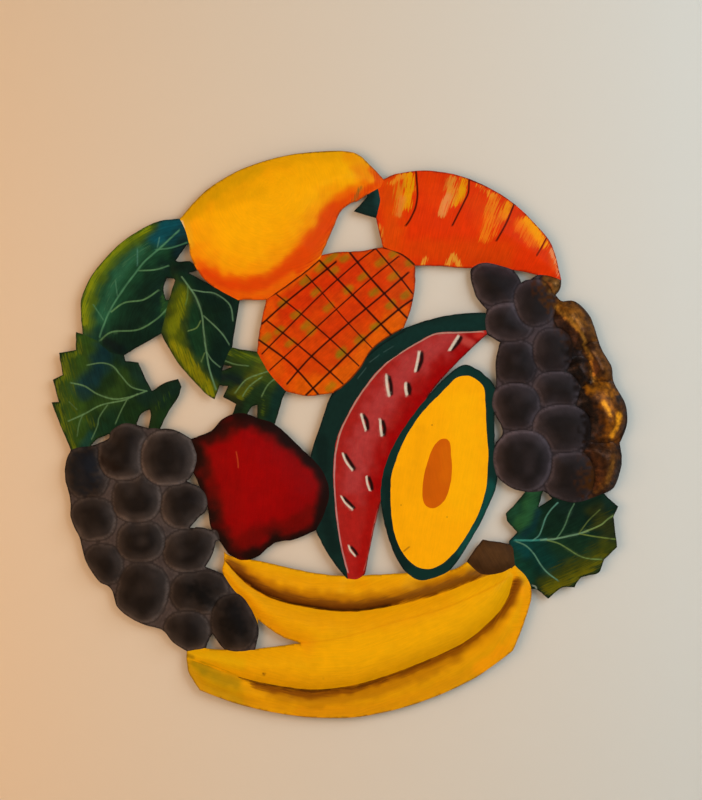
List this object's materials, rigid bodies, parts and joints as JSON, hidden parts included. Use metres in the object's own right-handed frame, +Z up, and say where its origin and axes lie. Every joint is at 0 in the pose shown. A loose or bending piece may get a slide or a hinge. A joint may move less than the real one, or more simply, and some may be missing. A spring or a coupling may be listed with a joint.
{
  "type": "wall plate",
  "caption": "Round openwork wall plate of painted sheet steel with fruit, grapes and leaves in hammered relief.",
  "frame": {"origin": "on the flat back of the sheet at the middle of the plate, in the plane that lies against the wall", "axes": "+Y points into the wall, the painted relief faces -Y, +X is to the viewer's right and +Z is up"},
  "size_m": [0.5754, 0.0182, 0.567],
  "materials": {
    "painted_steel": "hand painted in many colours and varnished, satin gloss"
  },
  "bodies": {
    "root": {"fruit_plate": "painted_steel"}
  },
  "joints": []
}
